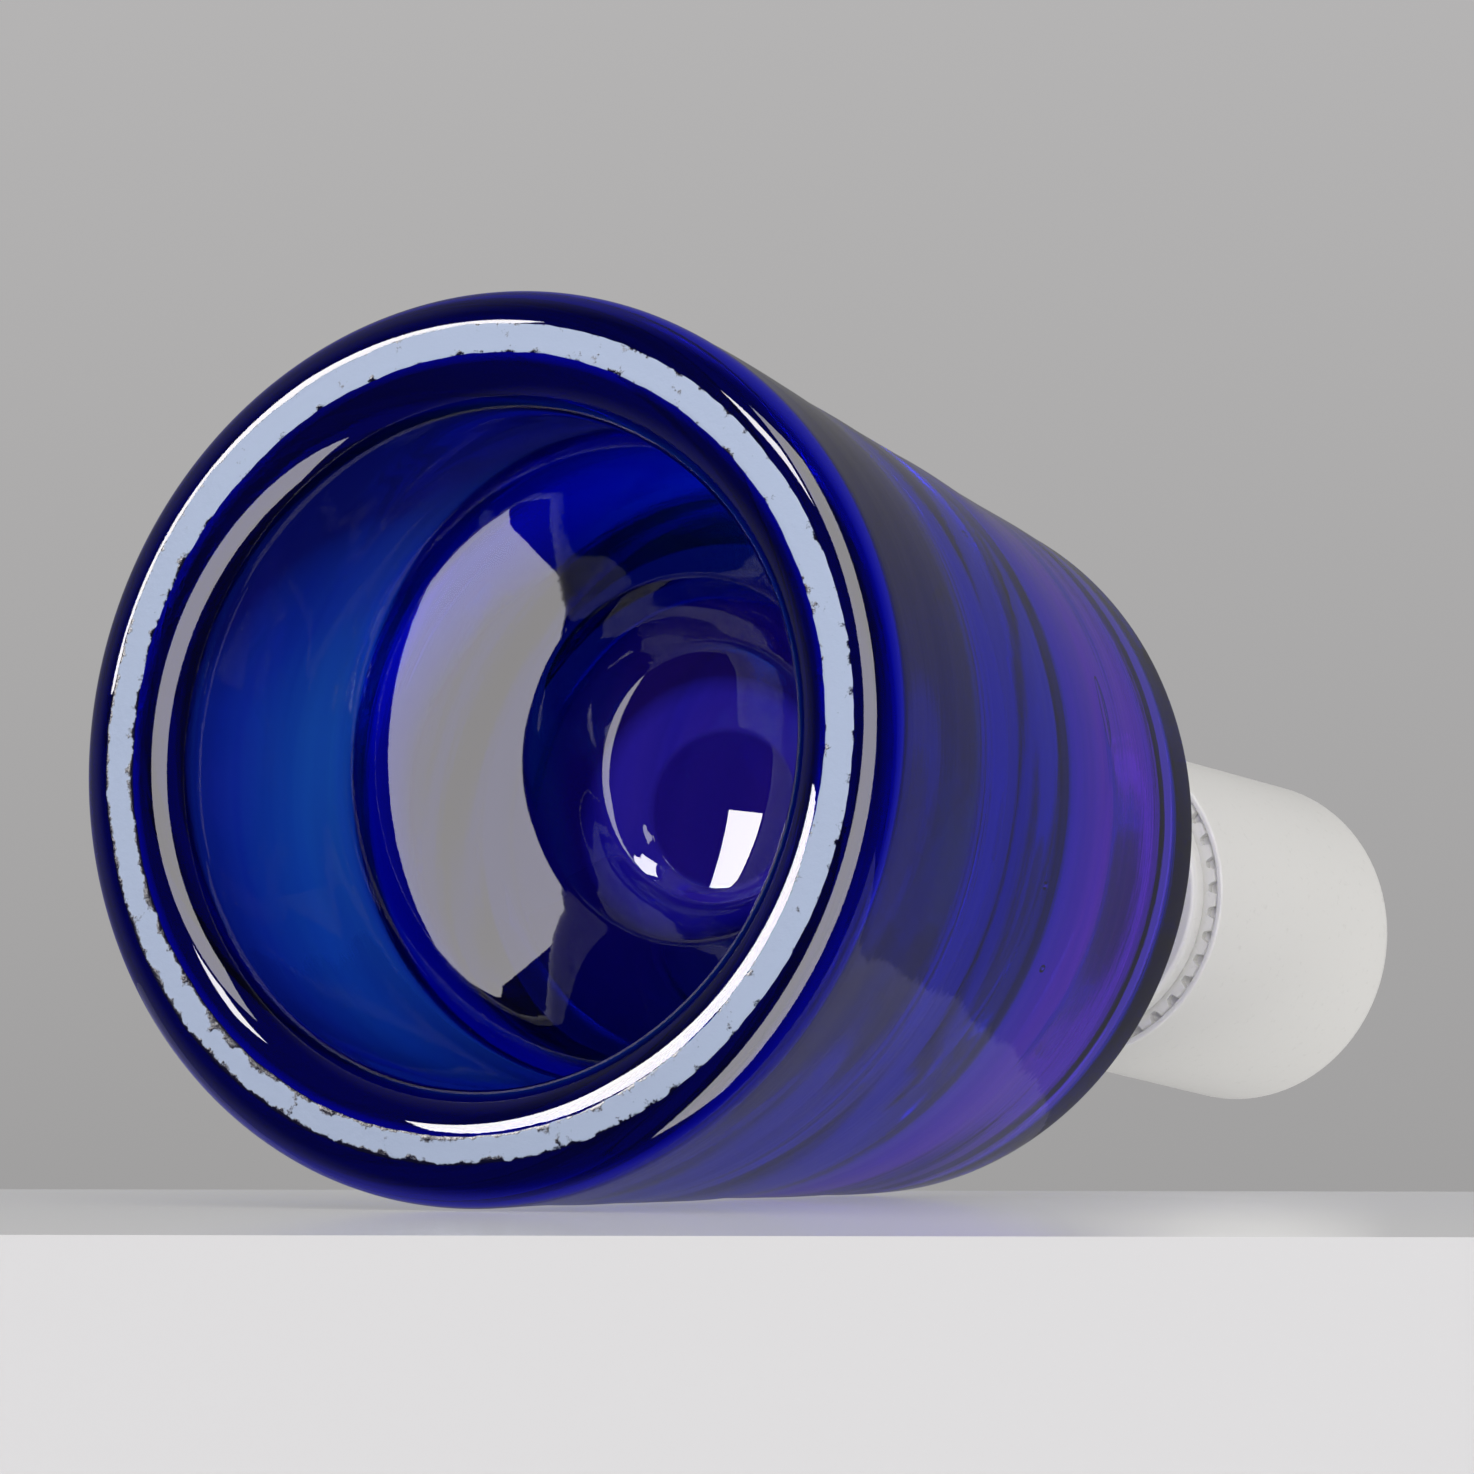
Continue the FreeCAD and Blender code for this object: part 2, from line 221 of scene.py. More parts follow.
@dataclass(frozen=True)
class ThreadRidge:
    """A ridge along a right-handed helix that fades out at both ends. Sizes are in millimetres."""

    root: float
    crest: float
    start: float
    pitch: float
    turns: float = 3.0
    width: float = 2.0
    sink: float = 0.15
    fade_turn: float = 0.7
    least_rise: float = 0.02
    steps_per_turn: int = 140

    def points(self) -> np.ndarray:
        """Works out the ridge: height = start + pitch t / turn, and radius = root + rise (crest - root).

        Returns:
            The grid of points, with the steps along the helix as rows and the ridge's section as columns.
        """
        angle = np.linspace(0, TURN * self.turns, int(self.steps_per_turn * self.turns))
        fade = eased(share_between(np.minimum(angle, angle[-1] - angle), 0, self.fade_turn))
        fade = self.least_rise + (1 - self.least_rise) * fade
        across = np.array([-0.5, -0.42, -0.2, 0.2, 0.42, 0.5])[:, None]
        rise = np.array([0.0, 0.25, 1.0, 1.0, 0.25, 0.0])[:, None]
        radius = self.root + (self.crest - self.root) * rise * fade
        height = self.start + self.pitch * angle / TURN + across * self.width
        below = self.root - self.sink * np.sign(self.crest - self.root)
        radius = np.concatenate([radius, np.full_like(radius[:2], below)])
        height = np.concatenate([height, height[-1:], height[:1]])
        angle = np.broadcast_to(angle, radius.shape)
        return np.stack([radius * np.cos(angle), radius * np.sin(angle), height], -1).swapaxes(0, 1)

    def build(self, name: str) -> bpy.types.Object:
        """Makes the ridge as a closed mesh, with both ends drawn in to points.

        Args:
            name: the name of the piece.

        Returns:
            The new object.
        """
        along = self.points()
        first, last = (np.broadcast_to(along[end].mean(0), along[:1].shape) for end in (0, -1))
        return grid_mesh(name, np.concatenate([first, along, last]))


# Shader node groups that more than one finish uses


def add_node(tree: bpy.types.NodeTree, kind: str, **values: object) -> bpy.types.Node:
    """Adds a node, sets its properties and the plain values of its inputs.

    Args:
        tree: the tree that gets the node.
        kind: the node's type.
        values: properties by name; a name that is no property is an input, with spaces as underscores.

    Returns:
        The node.
    """
    node = tree.nodes.new(kind)
    for key, value in values.items():
        if key in node.bl_rna.properties:
            setattr(node, key, value)
        else:
            node.inputs[key.replace("_", " ")].default_value = value
    return node


def add_sum(tree: bpy.types.NodeTree, factor: float, term: float) -> bpy.types.Node:
    """Adds a node that puts out its first input times a factor, plus a term.

    Args:
        tree: the tree that gets the node.
        factor: what the input is multiplied by.
        term: what is added.

    Returns:
        The node.
    """
    node = add_node(tree, "ShaderNodeMath", operation="MULTIPLY_ADD")
    node.inputs[1].default_value = factor
    node.inputs[2].default_value = term
    return node


def add_mix(tree: bpy.types.NodeTree, first: Colour = WHITE, second: Colour = WHITE) -> bpy.types.Node:
    """Adds a node that mixes two colours, inputs 6 and 7, into output 2.

    Args:
        tree: the tree that gets the node.
        first: the colour at factor 0.
        second: the colour at factor 1.

    Returns:
        The node.
    """
    node = add_node(tree, "ShaderNodeMix", data_type="RGBA")
    node.inputs[6].default_value = first
    node.inputs[7].default_value = second
    return node


def new_group(
    name: str, inputs: dict[str, str], outputs: dict[str, str]
) -> tuple[bpy.types.NodeTree, bpy.types.Node, bpy.types.Node]:
    """Makes an empty shader group with named sockets.

    Args:
        name: the name of the group.
        inputs: the type of each input, by name.
        outputs: the type of each output, by name.

    Returns:
        The group, its input node and its output node.
    """
    tree = bpy.data.node_groups.new(name, "ShaderNodeTree")
    for way, sockets in (("INPUT", inputs), ("OUTPUT", outputs)):
        for socket, kind in sockets.items():
            tree.interface.new_socket(socket, in_out=way, socket_type=kind)
    return tree, tree.nodes.new("NodeGroupInput"), tree.nodes.new("NodeGroupOutput")


class BlownStreaks:
    """Group: streaks that run round blown glass, as a colour and a height."""

    NAME = "blown_streaks"
    LEAN = (0.06, 0.04, 0.0)
    STRETCH = (8.0, 8.0, 210.0)
    FAINTEST = 0.35
    STRONGEST = 0.7

    @classmethod
    def build(cls) -> bpy.types.NodeTree:
        """Makes the group on first use.

        Returns:
            The group.
        """
        if cls.NAME in bpy.data.node_groups:
            return bpy.data.node_groups[cls.NAME]
        tree, into, out = new_group(
            cls.NAME,
            {"Clear": COLOUR_SOCKET, "Deep": COLOUR_SOCKET, "Amount": VALUE_SOCKET},
            {"Color": COLOUR_SOCKET, "Height": VALUE_SOCKET},
        )
        place = tree.nodes.new("ShaderNodeTexCoord")
        lean = add_node(tree, "ShaderNodeMapping", Rotation=cls.LEAN, Scale=cls.STRETCH)
        streaks = add_node(tree, "ShaderNodeTexNoise", Scale=1.0, Detail=6.0, Roughness=0.6, Distortion=0.5)
        strength = add_node(tree, "ShaderNodeMapRange", From_Min=cls.FAINTEST, From_Max=cls.STRONGEST)
        amount = add_node(tree, "ShaderNodeMath", operation="MULTIPLY")
        mix = add_mix(tree)
        link = tree.links.new
        link(place.outputs["Object"], lean.inputs["Vector"])
        link(lean.outputs["Vector"], streaks.inputs["Vector"])
        link(streaks.outputs["Fac"], strength.inputs["Value"])
        link(strength.outputs["Result"], amount.inputs[0])
        link(into.outputs["Amount"], amount.inputs[1])
        link(amount.outputs[0], mix.inputs["Factor"])
        link(into.outputs["Clear"], mix.inputs[6])
        link(into.outputs["Deep"], mix.inputs[7])
        link(mix.outputs[2], out.inputs["Color"])
        link(streaks.outputs["Fac"], out.inputs["Height"])
        return tree


class Wear:
    """Group: fine spots as a mask, and the grain that they come from."""

    NAME = "fine_wear"
    SOFTNESS = 0.06

    @classmethod
    def build(cls) -> bpy.types.NodeTree:
        """Makes the group on first use.

        Returns:
            The group.
        """
        if cls.NAME in bpy.data.node_groups:
            return bpy.data.node_groups[cls.NAME]
        tree, into, out = new_group(
            cls.NAME,
            {"Scale": VALUE_SOCKET, "Threshold": VALUE_SOCKET},
            {"Mask": VALUE_SOCKET, "Grain": VALUE_SOCKET},
        )
        place = tree.nodes.new("ShaderNodeTexCoord")
        spots = add_node(tree, "ShaderNodeTexNoise", Detail=6.0, Roughness=0.65)
        step = add_node(tree, "ShaderNodeMapRange")
        top = add_sum(tree, 1.0, cls.SOFTNESS)
        link = tree.links.new
        link(place.outputs["Object"], spots.inputs["Vector"])
        link(into.outputs["Scale"], spots.inputs["Scale"])
        link(into.outputs["Threshold"], step.inputs["From Min"])
        link(into.outputs["Threshold"], top.inputs[0])
        link(top.outputs[0], step.inputs["From Max"])
        link(spots.outputs["Fac"], step.inputs["Value"])
        link(step.outputs["Result"], out.inputs["Mask"])
        link(spots.outputs["Fac"], out.inputs["Grain"])
        return tree


# Finishes


def new_material(name: str) -> tuple[bpy.types.Material, bpy.types.Node, bpy.types.Node]:
    """Makes a material with one Principled shader.

    Args:
        name: the name of the material.

    Returns:
        The material, its shader and its output node.
    """
    material = bpy.data.materials.new(name)
    material.use_nodes = True
    tree = material.node_tree
    tree.nodes.clear()
    shader = tree.nodes.new("ShaderNodeBsdfPrincipled")
    output = tree.nodes.new("ShaderNodeOutputMaterial")
    tree.links.new(shader.outputs["BSDF"], output.inputs["Surface"])
    return material, shader, output


def make_clear(shader: bpy.types.Node, index: float) -> None:
    """Makes a shader polished and clear.

    Args:
        shader: the Principled shader.
        index: its index of refraction.
    """
    shader.inputs["Roughness"].default_value = 0.0
    shader.inputs["IOR"].default_value = index
    shader.inputs["Transmission Weight"].default_value = 1.0


@dataclass(frozen=True)
class BlueGlass:
    """Deep cobalt glass, streaked by the blowing, with bands of painted light and shade over the base recess
    and the foot's outer lip.
    """

    clear: Colour = (0.95, 0.26, 1.0, 1.0)
    deep: Colour = (0.45, 0.13, 0.92, 1.0)
    # These ramp colours are painted light and shade over the glass's blue: dark bands are painted shade on
    # the lips, dome and pontil disc, bright bands are painted light and highlights on the wall, the bend and
    # the ring round the disc.
    wall_painted_shade: Tint = (0.004, 0.01, 0.05)
    wall_painted_light: Tint = (0.006, 0.16, 0.45)
    bend_painted_highlight: Tint = (0.012, 0.95, 0.75)
    dome_painted_shade: Tint = (0.02, 0.02, 0.04)
    ring_painted_highlight: Tint = (0.12, 0.50, 0.42)
    disc_painted_shade: Tint = (0.02, 0.04, 0.16)
    streak_amount: float = 0.95
    absorbed: Colour = (0.40, 0.60, 0.984, 1.0)
    density: float = 250.0
    index: float = 1.51
    relief: float = 0.00012
    relief_strength: float = 0.5
    recess_relief: float = 0.2

    def set_painted_light_bands(self, ramp: bpy.types.ColorRamp) -> None:
        """Sets the bands of painted light and shade in the recess, from its wall, over the bend and the
        dome, to the pontil disc.

        Args:
            ramp: the ramp, whose factor is 0 at the wall and 1 on the axis.
        """
        stops = (
            (0.0, self.wall_painted_shade),
            (0.05, self.wall_painted_light),
            (0.12, self.bend_painted_highlight),
            (0.26, self.dome_painted_shade),
            (0.62, self.dome_painted_shade),
            (0.68, self.ring_painted_highlight),
            (0.77, self.ring_painted_highlight),
            (0.79, self.disc_painted_shade),
        )
        while len(ramp.elements) < len(stops):
            ramp.elements.new(0.5)
        for element, (place, tint) in zip(ramp.elements, stops):
            element.position = place
            element.color = (*tint, 1.0)

    def make(self) -> bpy.types.Material:
        """Makes the glass: streaks outside, bands of painted light and shade in the recess and on the foot's
        lip, and a depth of colour inside.

        Returns:
            The material. It reads the mesh attributes "recess" and "inward".
        """
        material, shader, output = new_material("blue_glass")
        tree = material.node_tree
        streaks = add_node(tree, "ShaderNodeGroup", node_tree=BlownStreaks.build())
        streaks.inputs["Clear"].default_value = self.clear
        streaks.inputs["Deep"].default_value = self.deep
        streaks.inputs["Amount"].default_value = self.streak_amount
        # These attributes place the bands of painted light and shade in the recess and on the foot's lip.
        recess = add_node(tree, "ShaderNodeAttribute", attribute_name="recess")
        inward = add_node(tree, "ShaderNodeAttribute", attribute_name="inward")
        bands = tree.nodes.new("ShaderNodeValToRGB")
        self.set_painted_light_bands(bands.color_ramp)
        tint = add_mix(tree)
        calm = add_sum(tree, self.recess_relief - 1.0, 1.0)
        ripple = add_node(tree, "ShaderNodeMath", operation="MULTIPLY")
        bump = add_node(tree, "ShaderNodeBump", Strength=self.relief_strength, Distance=self.relief)
        volume = add_node(tree, "ShaderNodeVolumeAbsorption", Color=self.absorbed, Density=self.density)
        make_clear(shader, self.index)
        link = tree.links.new
        link(inward.outputs["Fac"], bands.inputs["Fac"])
        link(recess.outputs["Fac"], tint.inputs["Factor"])
        link(streaks.outputs["Color"], tint.inputs[6])
        link(bands.outputs["Color"], tint.inputs[7])
        link(tint.outputs[2], shader.inputs["Base Color"])
        link(recess.outputs["Fac"], calm.inputs[0])
        link(calm.outputs[0], ripple.inputs[0])
        link(streaks.outputs["Height"], ripple.inputs[1])
        link(ripple.outputs[0], bump.inputs["Height"])
        link(bump.outputs["Normal"], shader.inputs["Normal"])
        link(volume.outputs["Volume"], output.inputs["Volume"])
        return material


@dataclass(frozen=True)
class BubbleAir:
    """Air shut in the glass: its index is about one over that of the glass."""

    index: float = 0.66

    def make(self) -> bpy.types.Material:
        """Makes the air.

        Returns:
            The material.
        """
        material, shader, _ = new_material("bubble_air")
        shader.inputs["Base Color"].default_value = WHITE
        make_clear(shader, self.index)
        return material


@dataclass(frozen=True)
class GroundGlass:
    """The pale, flat-ground face of the foot ring, worn through to dark glass in places."""

    pale: Colour = (0.33, 0.41, 0.58, 1.0)
    dark: Colour = (0.002, 0.002, 0.02, 1.0)
    scale: float = 420.0
    threshold: float = 0.635
    edge_wear: float = 0.38
    relief: float = 0.0002
    relief_strength: float = 0.4
    roughness: float = 0.55
    worn_roughness: float = 0.12

    def make(self) -> bpy.types.Material:
        """Makes the ground face, with more wear where the mesh attribute "edge" is high.

        Returns:
            The material.
        """
        material, shader, _ = new_material("ground_glass")
        tree = material.node_tree
        edge = add_node(tree, "ShaderNodeAttribute", attribute_name="edge")
        lower = add_sum(tree, -self.edge_wear, self.threshold)
        wear = add_node(tree, "ShaderNodeGroup", node_tree=Wear.build())
        wear.inputs["Scale"].default_value = self.scale
        mix = add_mix(tree, self.pale, self.dark)
        polish = add_sum(tree, self.worn_roughness - self.roughness, self.roughness)
        bump = add_node(tree, "ShaderNodeBump", Strength=self.relief_strength, Distance=self.relief)
        link = tree.links.new
        link(edge.outputs["Fac"], lower.inputs[0])
        link(lower.outputs[0], wear.inputs["Threshold"])
        link(wear.outputs["Mask"], mix.inputs["Factor"])
        link(mix.outputs[2], shader.inputs["Base Color"])
        link(wear.outputs["Mask"], polish.inputs[0])
        link(polish.outputs[0], shader.inputs["Roughness"])
        link(wear.outputs["Grain"], bump.inputs["Height"])
        link(bump.outputs["Normal"], shader.inputs["Normal"])
        return material


@dataclass(frozen=True)
class Moulded:
    """A matt moulding: a base colour, faint darker spots and a fine grain."""

    name: str
    colour: Colour
    spot: Colour
    smooth: float
    rough: float
    scale: float
    relief: float
    relief_strength: float = 0.3
    threshold: float = 0.6

    def make(self) -> bpy.types.Material:
        """Makes the moulding.

        Returns:
            The material.
        """
        material, shader, _ = new_material(self.name)
        tree = material.node_tree
        wear = add_node(tree, "ShaderNodeGroup", node_tree=Wear.build())
        wear.inputs["Scale"].default_value = self.scale
        wear.inputs["Threshold"].default_value = self.threshold
        mix = add_mix(tree, self.colour, self.spot)
        finish = add_node(tree, "ShaderNodeMapRange", To_Min=self.smooth, To_Max=self.rough)
        bump = add_node(tree, "ShaderNodeBump", Strength=self.relief_strength, Distance=self.relief)
        link = tree.links.new
        link(wear.outputs["Mask"], mix.inputs["Factor"])
        link(mix.outputs[2], shader.inputs["Base Color"])
        link(wear.outputs["Grain"], finish.inputs["Value"])
        link(finish.outputs["Result"], shader.inputs["Roughness"])
        link(wear.outputs["Grain"], bump.inputs["Height"])
        link(bump.outputs["Normal"], shader.inputs["Normal"])
        return material


WHITE_PLASTIC = Moulded(
    name="white_plastic",
    colour=(0.85, 0.85, 0.82, 1.0),
    spot=(0.80, 0.80, 0.77, 1.0),
    smooth=0.34,
    rough=0.52,
    scale=900.0,
    relief=0.00004,
)
LINER_RUBBER = Moulded(
    name="liner_rubber",
    colour=(0.62, 0.60, 0.55, 1.0),
    spot=(0.50, 0.48, 0.43, 1.0),
    smooth=0.65,
    rough=0.9,
    scale=1500.0,
    relief=0.0001,
)


@dataclass(frozen=True)
class StagePale:
    """A pale finish of the stage that shows only from its front."""

    name: str
    colour: Colour
    roughness: float
    glow: float = 0.0

    def make(self) -> bpy.types.Material:
        """Makes the finish, clear where it is seen from behind.

        Returns:
            The material.
        """
        material, shader, output = new_material(self.name)
        tree = material.node_tree
        shader.inputs["Base Color"].default_value = self.colour
        shader.inputs["Roughness"].default_value = self.roughness
        shader.inputs["Emission Color"].default_value = WHITE
        shader.inputs["Emission Strength"].default_value = self.glow
        clear = tree.nodes.new("ShaderNodeBsdfTransparent")
        face = tree.nodes.new("ShaderNodeNewGeometry")
        mix = tree.nodes.new("ShaderNodeMixShader")
        link = tree.links.new
        link(face.outputs["Backfacing"], mix.inputs[0])
        link(shader.outputs[0], mix.inputs[1])
        link(clear.outputs[0], mix.inputs[2])
        link(mix.outputs[0], output.inputs["Surface"])
        return material


SLAB_TOP = StagePale("slab_top", (0.62, 0.62, 0.63, 1.0), roughness=0.14, glow=0.22)
SLAB_FRONT = StagePale("pale_slab", (0.52, 0.525, 0.535, 1.0), roughness=0.6)
SLAB_SHINE = StagePale("slab_shine", (0.35, 0.35, 0.36, 1.0), roughness=0.5, glow=0.1)
FLOOR = StagePale("pale_floor", (0.5, 0.5, 0.5, 1.0), roughness=0.6)


def dress(
    piece: bpy.types.Object, material: bpy.types.Material, body: Body, slot: str, *nodes: str
) -> bpy.types.Object:
    """Gives a piece its material, its body and the solids that it stands for.

    Args:
        piece: the piece.
        material: its material.
        body: the body that it rides.
        slot: the record's material slot; not used.
        nodes: the solids that it replaces.

    Returns:
        The piece.
    """
    piece.data.materials.clear()
    piece.data.materials.append(material)
    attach(piece, body.value)
    if nodes:
        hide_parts(*nodes)
    LOG.info("%s: %d faces on %s", piece.name, len(piece.data.polygons), body.value)
    return piece


def store_values(piece: bpy.types.Object, name: str, values: np.ndarray) -> None:
    """Stores one value per vertex as a mesh attribute that a finish reads.

    Args:
        piece: the piece.
        name: the name of the attribute.
        values: the values, in the order of the vertices.
    """
    layer = piece.data.attributes.new(name, "FLOAT", "POINT")
    layer.data.foreach_set("value", values.ravel())


# The glass


@dataclass(frozen=True)
class Wave:
    """One wave of the ripple that blowing leaves: its sizes in millimetres, its crests round the axis."""

    size: float
    length: float
    crests: int
    phase: float


@dataclass(frozen=True)
class Bubble:
    """A bubble in the wall: turn round the axis in degrees, height and half sizes in millimetres."""

    turn: float
    height: float
    half_height: float
    half_width: float


@dataclass
class GlassBottle:
    """The blown bottle with its ground foot ring and the bubbles in its wall. Sizes are in millimetres."""

    base_radius: float = 52.0
    taper: float = 0.121
    shoulder_height: float = 99.5
    foot_outer_round: float = 4.5
    foot_inner_round: float = 5.6
    shoulder_round: float = 2.0
    neck_radius: float = 12.95
    bore_radius: float = 9.5
    neck_root_height: float = 113.0
    neck_root_round: float = 10.0
    mouth_height: float = 189.9
    mouth_round: float = 1.2
    wall: float = 4.0
    bore_root_drop: float = 2.8
    bore_root_round: float = 12.0
    inner_shoulder_drop: float = 2.5
    inner_shoulder_round: float = 13.0
    cavity_floor: float = 65.0
    cavity_heel_round: float = 10.0
    recess_radius: float = 38.6
    corner_radius: float = 37.6
    corner_height: float = 38.5
    corner_round: float = 9.0
    break_radius: float = 21.0
    break_height: float = 49.8
    break_round: float = 4.0
    ring_radius: float = 15.0
    ring_height: float = 57.6
    ring_round: float = 2.5
    pontil_radius: float = 9.4
    pontil_height: float = 59.5
    pontil_hollow: float = 0.7
    pontil_edge_round: float = 0.5
    pontil_steps: int = 13
    outline_step: float = 1.6
    segments: int = 256

    # Ripple of the blowing, and where it fades out
    ripple: tuple[Wave, ...] = (
        Wave(0.06, 43.0, 1, 0.3),
        Wave(0.045, 23.0, -1, 1.9),
        Wave(0.02, 13.0, 2, 4.0),
        Wave(0.006, 7.3, -2, 2.2),
    )
    ripple_full_height: float = 8.0
    ripple_fades_height: float = 120.0
    ripple_ends_height: float = 150.0
    ripple_starts_radius: float = 10.0
    ripple_full_radius: float = 20.0

    # Lean of the dome, and where it sets in
    recess_lean: float = 0.09
    lean_starts_height: float = 8.0
    lean_full_height: float = 28.0
    lean_run: float = 8.0

    # Where the painted light and shade of the recess and the painted shade on the foot's outer lip lie; the
    # upper-wall values darken one side as painted shade
    tint_starts_radius: float = 44.4
    tint_full_radius: float = 43.6
    tint_top: float = 62.0
    lip_tint_radius: float = 47.0
    lip_tint_top: float = 3.0
    lip_tint_full: float = 1.0
    wall_share: float = 0.1
    wall_share_height: float = 30.0
    upper_wall_painted_shade: float = 0.06
    upper_wall_starts: float = 5.0
    upper_wall_full: float = 30.0

    # Ground face of the foot ring
    face_inner: float = 44.3
    face_outer: float = 47.7
    face_depth: float = 0.03
    face_inner_wave: float = 0.16
    face_outer_wave: float = 0.2
    face_inner_seed: int = 5
    face_outer_seed: int = 8
    face_steps: int = 720
    worn_turn: float = 130.0
    least_wear: float = 0.3

    # Bubbles
    bubbles: tuple[Bubble, ...] = (
        Bubble(-17.5, 73.5, 1.0, 4.2),
        Bubble(12.0, 55.0, 0.8, 0.5),
        Bubble(24.0, 63.0, 0.8, 0.5),
        Bubble(-40.0, 47.0, 0.9, 0.5),
    )
    bubble_half_depth: float = 0.6
    bubble_rows: int = 14
    bubble_columns: int = 20

    @property
    def last_recess_corner(self) -> int:
        """Returns the number of the outline's corner where the dome meets the recess wall."""
        return self.pontil_steps + 3

    def wall_radius(self, height: float) -> float:
        """Returns the outer radius of the tapered wall at a height."""
        return self.base_radius + self.taper * (self.foot_outer_round - height)

    def outline(self) -> tuple[np.ndarray, np.ndarray]:
        """Samples the whole outline, from the hollow of the pontil disc round to the floor of the inside.

        Returns:
            Rows of radius and height, and for each row the number of the corner it follows.
        """
        across = np.linspace(0, 1, self.pontil_steps, endpoint=False)
        hollow = self.pontil_height + self.pontil_hollow * (1 - across**2)
        inner_shoulder = self.shoulder_height - self.inner_shoulder_drop
        corners = [(self.pontil_radius * a, z, 0.0) for a, z in zip(across, hollow)] + [
            (self.pontil_radius, self.pontil_height, self.pontil_edge_round),
            (self.ring_radius, self.ring_height, self.ring_round),
            (self.break_radius, self.break_height, self.break_round),
            (self.corner_radius, self.corner_height, self.corner_round),
            (self.recess_radius, 0.0, self.foot_inner_round),
            (self.wall_radius(0.0), 0.0, self.foot_outer_round),
            (self.wall_radius(self.shoulder_height), self.shoulder_height, self.shoulder_round),
            (self.neck_radius, self.neck_root_height, self.neck_root_round),
            (self.neck_radius, self.mouth_height, self.mouth_round),
            (self.bore_radius, self.mouth_height, self.mouth_round),
            (self.bore_radius, self.neck_root_height - self.bore_root_drop, self.bore_root_round),
            (self.wall_radius(inner_shoulder) - self.wall, inner_shoulder, self.inner_shoulder_round),
            (self.wall_radius(self.cavity_floor) - self.wall, self.cavity_floor, self.cavity_heel_round),
            (0.0, self.cavity_floor, 0.0),
        ]
        return rounded_outline(corners, self.outline_step, False)

    def blown_shift(self, outline: np.ndarray) -> np.ndarray:
        """Works out the small change of radius that blowing leaves: a sum of waves that run round and lean.

        Args:
            outline: rows of radius and height.

        Returns:
            The change of radius, one per row and step round the axis.
        """
        angle = np.linspace(0, TURN, self.segments, endpoint=False)
        radius, height = outline[:, :1], outline[:, 1:]
        shift = sum(
            wave.size * np.sin(TURN * height / wave.length + wave.crests * angle + wave.phase)
            for wave in self.ripple
        )
        low = share_between(height, 0.0, self.ripple_full_height)
        high = share_between(height, self.ripple_ends_height, self.ripple_fades_height)
        off_axis = share_between(radius, self.ripple_starts_radius, self.ripple_full_radius)
        return shift * low * high * off_axis

    def build_glass(self) -> bpy.types.Object:
        """Turns the glass, with the ripple of the blowing on every wall.

        Returns:
            The glass.
        """
        outline, marks = self.outline()
        points = turned(outline, self.segments, self.blown_shift(outline))
        piece = grid_mesh("blown_glass", self.lean_recess(points, marks), smooth_angle=60.0)
        self.mark_painted_recess_light(piece)
        return piece

    def lean_recess(self, points: np.ndarray, marks: np.ndarray) -> np.ndarray:
        """Leans the dome of the base recess, as blown recesses do: y and z turn a little round the x axis.

        Args:
            points: the grid of the glass.
            marks: the outline corner that each row follows.

        Returns:
            The grid with its dome leant, the more the higher it lies, and the pontil disc left in place.
        """
        x, y, z = np.moveaxis(points, -1, 0)
        in_recess = (marks <= self.last_recess_corner)[:, None]
        high = share_between(z, self.lean_starts_height, self.lean_full_height)
        wide = share_between(np.hypot(x, y), self.pontil_radius, self.pontil_radius + self.lean_run)
        share = high * wide * in_recess * self.recess_lean
        return np.stack([x, y - share * z, z + share * y], -1)

    def mark_painted_recess_light(self, piece: bpy.types.Object) -> None:
        """Stores how much each vertex gets the painted light and shade of the recess and the foot's outer
        lip, and how far in it lies, which picks its band of painted light and shade.

        Args:
            piece: the glass.
        """
        spots = np.empty(3 * len(piece.data.vertices))
        piece.data.vertices.foreach_get("co", spots)
        x, y, z = spots.reshape(-1, 3).T / MM
        reach = np.hypot(x, y)
        inside = share_between(reach, self.tint_starts_radius, self.tint_full_radius) * (z < self.tint_top)
        # The foot's outer lip takes the darkest band: painted shade.
        lip_painted_shade = share_between(z, self.lip_tint_top, self.lip_tint_full) * (reach > self.lip_tint_radius)
        wall = self.wall_share * share_between(z, 0.0, self.wall_share_height)
        # On the upper side the bands slide towards the dark wall end: painted shade on one side of the
        # recess.
        upper_painted_shade = self.upper_wall_painted_shade * share_between(-y, self.upper_wall_starts, self.upper_wall_full)
        across = (1 - self.wall_share) * (1 - reach / self.recess_radius)
        store_values(piece, "recess", np.maximum(inside, lip_painted_shade))
        store_values(piece, "inward", np.clip(wall - upper_painted_shade + across, 0, 1))

    def ragged(self, angle: np.ndarray, seed: int, size: float) -> np.ndarray:
        """Works out an uneven edge: a sum of waves round the ring that grow weaker as they grow finer.

        Args:
            angle: angles round the axis.
            seed: picks the waves.
            size: size of the strongest wave, in millimetres.

        Returns:
            The change of radius at each angle.
        """
        crests = np.array([2, 3, 5, 9, 17, 31, 57, 83, 121])
        weakening, strength = 0.35, 0.6
        chance = np.random.default_rng(seed)
        phases = chance.uniform(0, TURN, len(crests))
        sizes = size * chance.uniform(0.5, 1.0, len(crests)) / crests**weakening
        return strength * (sizes[:, None] * np.sin(crests[:, None] * angle + phases[:, None])).sum(0)

